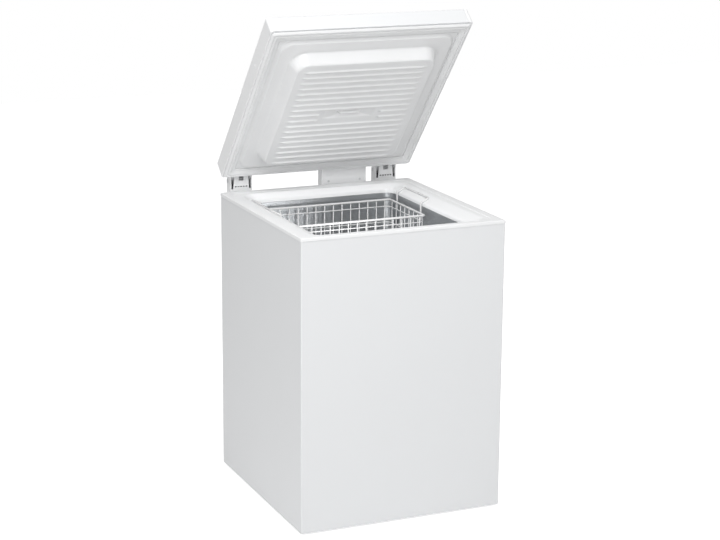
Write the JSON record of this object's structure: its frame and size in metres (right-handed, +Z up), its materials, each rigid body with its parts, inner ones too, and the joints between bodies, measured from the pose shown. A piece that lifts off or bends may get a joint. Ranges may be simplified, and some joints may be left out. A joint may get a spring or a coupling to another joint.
{
  "type": "chest freezer",
  "caption": "White chest freezer with a ribbed lid held open on sprung hinges, a moulded collar round a metal-lined well, a hanging basket, a rear control box and a machine bay.",
  "frame": {"origin": "on the floor under the middle of the overall footprint, hinge housings included", "axes": "+X to the right seen from the front, +Y to the back, +Z up"},
  "size_m": [0.595, 0.6654, 1.3577],
  "materials": {
    "white_paint": "smooth white stove enamel on sheet steel",
    "white_plastic": "moulded white plastic, soft gloss",
    "lid_liner_plastic": "vacuum-formed white sheet, satin",
    "gasket_vinyl": "pale grey flexible vinyl",
    "grey_plastic": "light grey moulded plastic, fine texture",
    "galvanised_sheet": "galvanised sheet steel",
    "plated_steel": "zinc-plated steel",
    "liner_aluminium": "stucco-embossed aluminium sheet",
    "foam": "rigid foam",
    "steel_tube": "drawn steel tube",
    "aluminium_tube": "drawn aluminium tube",
    "copper_tube": "drawn copper tube",
    "black_paint": "black enamel on pressed steel",
    "black_plastic": "black moulded plastic",
    "black_rubber": "black rubber",
    "knob_plastic": "dark grey moulded plastic",
    "lamp_lens": "coloured clear lens",
    "nylon": "natural nylon",
    "white_wire": "white plastic-coated wire"
  },
  "bodies": {
    "cabinet": {"outer_shell": "white_paint", "top_collar": "white_plastic", "control_box": "grey_plastic", "control_panel": "grey_plastic", "hinge_body_left": "grey_plastic", "hinge_body_right": "grey_plastic", "back_panel": "galvanised_sheet", "base_pan": "galvanised_sheet", "bay_partition": "galvanised_sheet", "bay_grille": "galvanised_sheet", "back_panel_screws": "plated_steel", "bay_grille_screws": "plated_steel", "control_box_screws": "plated_steel", "hinge_body_screws": "plated_steel", "hinge_pins": "plated_steel", "hinge_spring_left": "plated_steel", "hinge_spring_right": "plated_steel", "compressor_rails": "plated_steel", "compressor_bolts": "plated_steel", "inner_liner": "liner_aluminium", "insulation": "foam", "condenser_tube": "steel_tube", "compressor_motor": "steel_tube", "evaporator_tube": "aluminium_tube", "discharge_pipe": "copper_tube", "suction_pipe": "copper_tube", "drier": "copper_tube", "capillary_tube": "copper_tube", "compressor_base": "black_paint", "compressor_dome": "black_paint", "feet": "black_plastic", "relay_cover": "black_plastic", "cable_gland": "black_plastic", "thermostat": "black_plastic", "compressor_grommets": "black_rubber", "indicator_lamps": "lamp_lens", "drain_tube": "nylon"},
    "lid": {"lid_skin": "white_paint", "lid_trim_left": "white_plastic", "lid_trim_right": "white_plastic", "lid_side_plugs": "white_plastic", "lid_liner": "lid_liner_plastic", "lid_insulation": "foam", "lid_gasket": "gasket_vinyl", "hinge_bracket_left": "plated_steel", "hinge_bracket_right": "plated_steel", "hinge_bracket_screws": "plated_steel"},
    "left_slider": {"hinge_slider_left": "black_plastic"},
    "right_slider": {"hinge_slider_right": "black_plastic"},
    "thermostat_dial": {"thermostat_spindle": "plated_steel", "thermostat_knob": "knob_plastic"},
    "basket": {"basket_floor": "white_wire", "basket_front": "white_wire", "basket_back": "white_wire", "basket_ends": "white_wire", "basket_rim": "white_wire", "basket_hangers": "white_wire"},
    "plug": {"drain_plug": "nylon"}
  },
  "joints": [
    {"name": "lid_hinge", "type": "hinge", "parent": "cabinet", "child": "lid", "pos_m": [0, 0.32325, 0.8421], "axis": [-1, 0, 0], "range_deg": [-49.2, 30.8]},
    {"name": "left_slider_rise", "type": "slide", "parent": "cabinet", "child": "left_slider", "axis": [0, 0, 1], "range_m": [-0.0052, 0.0033], "deforming": ["hinge_spring_left"]},
    {"name": "right_slider_rise", "type": "slide", "parent": "cabinet", "child": "right_slider", "axis": [0, 0, 1], "range_m": [-0.0052, 0.0033], "deforming": ["hinge_spring_right"]},
    {"name": "thermostat_turn", "type": "hinge", "parent": "cabinet", "child": "thermostat_dial", "pos_m": [0.051, 0.30625, 0.8576], "axis": [0, 0, 1], "range_deg": [-150, 150]},
    {"name": "basket_slide", "type": "slide", "parent": "cabinet", "child": "basket", "axis": [0, -1, 0], "range_m": [0, 0.265]},
    {"name": "drain_plug_pull", "type": "slide", "parent": "cabinet", "child": "plug", "axis": [0, -1, 0], "range_m": [0, 0.032]}
  ],
  "couplings": [
    {"joint": "left_slider_rise", "follows": "lid_hinge", "m_per_rad": 0.006},
    {"joint": "right_slider_rise", "follows": "lid_hinge", "m_per_rad": 0.006}
  ]
}
